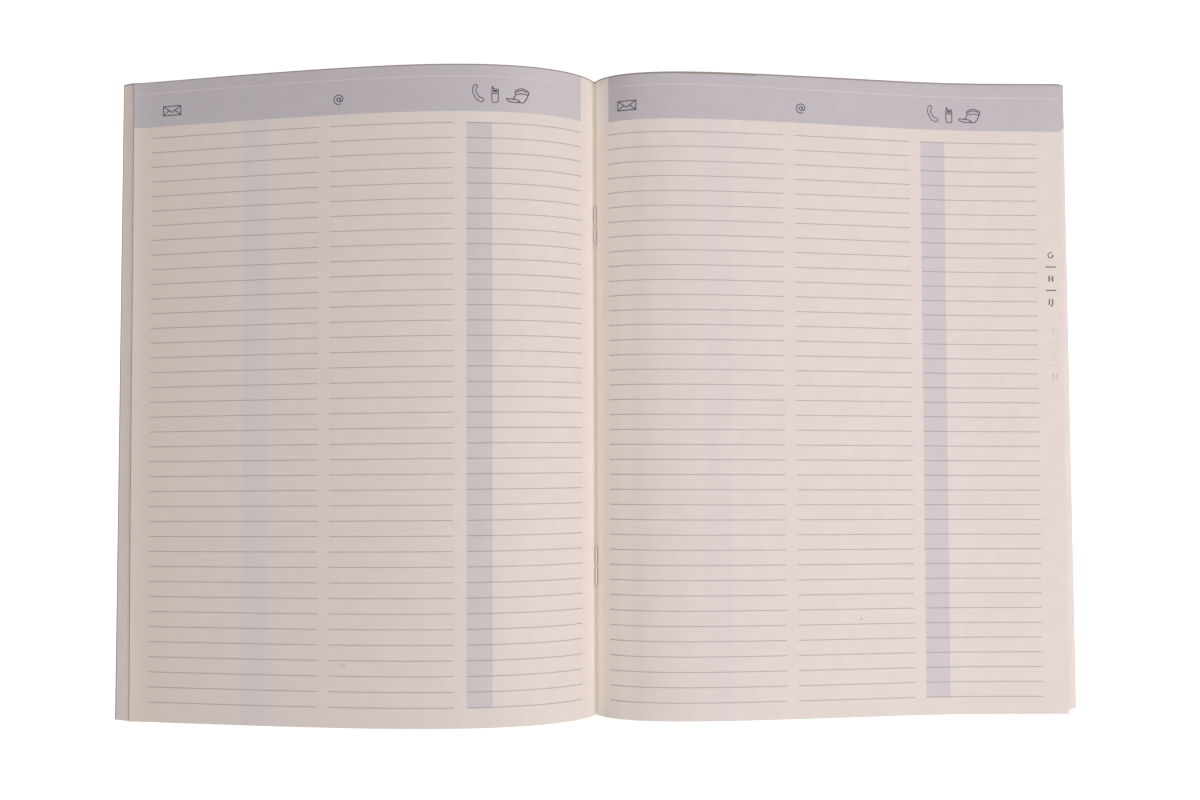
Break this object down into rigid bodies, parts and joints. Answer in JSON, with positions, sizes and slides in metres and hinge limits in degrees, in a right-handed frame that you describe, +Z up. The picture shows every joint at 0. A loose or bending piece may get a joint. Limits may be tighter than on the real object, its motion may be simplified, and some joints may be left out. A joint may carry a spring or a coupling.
{
  "type": "address book",
  "caption": "Saddle-stitched paper address book lying open at its middle spread, with ruled name, address and phone columns on both pages.",
  "frame": {"origin": "middle of the footprint, on the surface that the open book lies on", "axes": "+X across the open spread to the reader's right, +Y up the pages along the spine, +Z up"},
  "size_m": [0.333, 0.22, 0.0246],
  "materials": {
    "paper": "uncoated, matt, printed in one grey-blue",
    "staple_wire": "galvanised, satin"
  },
  "bodies": {
    "root": {"pages": "paper", "staple_head": "staple_wire", "staple_foot": "staple_wire"}
  },
  "joints": []
}
